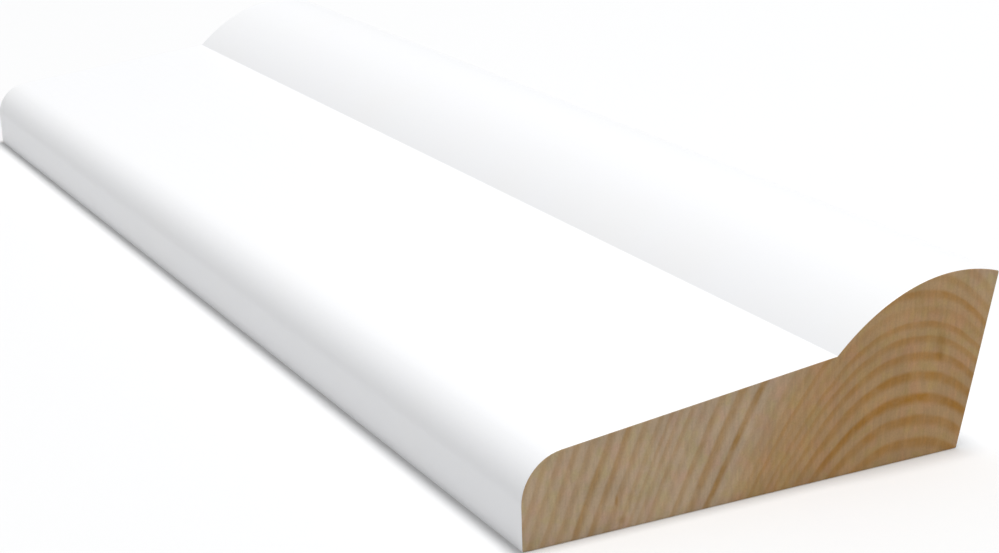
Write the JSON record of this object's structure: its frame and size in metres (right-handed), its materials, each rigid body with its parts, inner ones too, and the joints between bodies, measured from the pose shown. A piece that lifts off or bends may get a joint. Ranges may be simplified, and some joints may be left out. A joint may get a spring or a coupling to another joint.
{
  "type": "skirting board",
  "caption": "Short length of white-primed pine skirting board: rounded thin edge, gently sloping face, V groove and a swelling hump at the thick edge, with square-cut ends.",
  "frame": {"origin": "under the middle of the bounding box, on the flat back, which the board lies on", "axes": "+Y runs along the board away from the near cut end, +X runs across it from the thin rounded edge to the thick edge, +Z points out of the flat back towards the moulded face"},
  "size_m": [0.06, 0.188, 0.0211],
  "materials": {
    "white_primer": "factory white primer on pine, smooth, satin matt",
    "bare_pine": "bare sawn and planed pine with darker growth rings, matt"
  },
  "bodies": {
    "root": {"skirting_board": "white_primer"}
  },
  "joints": []
}
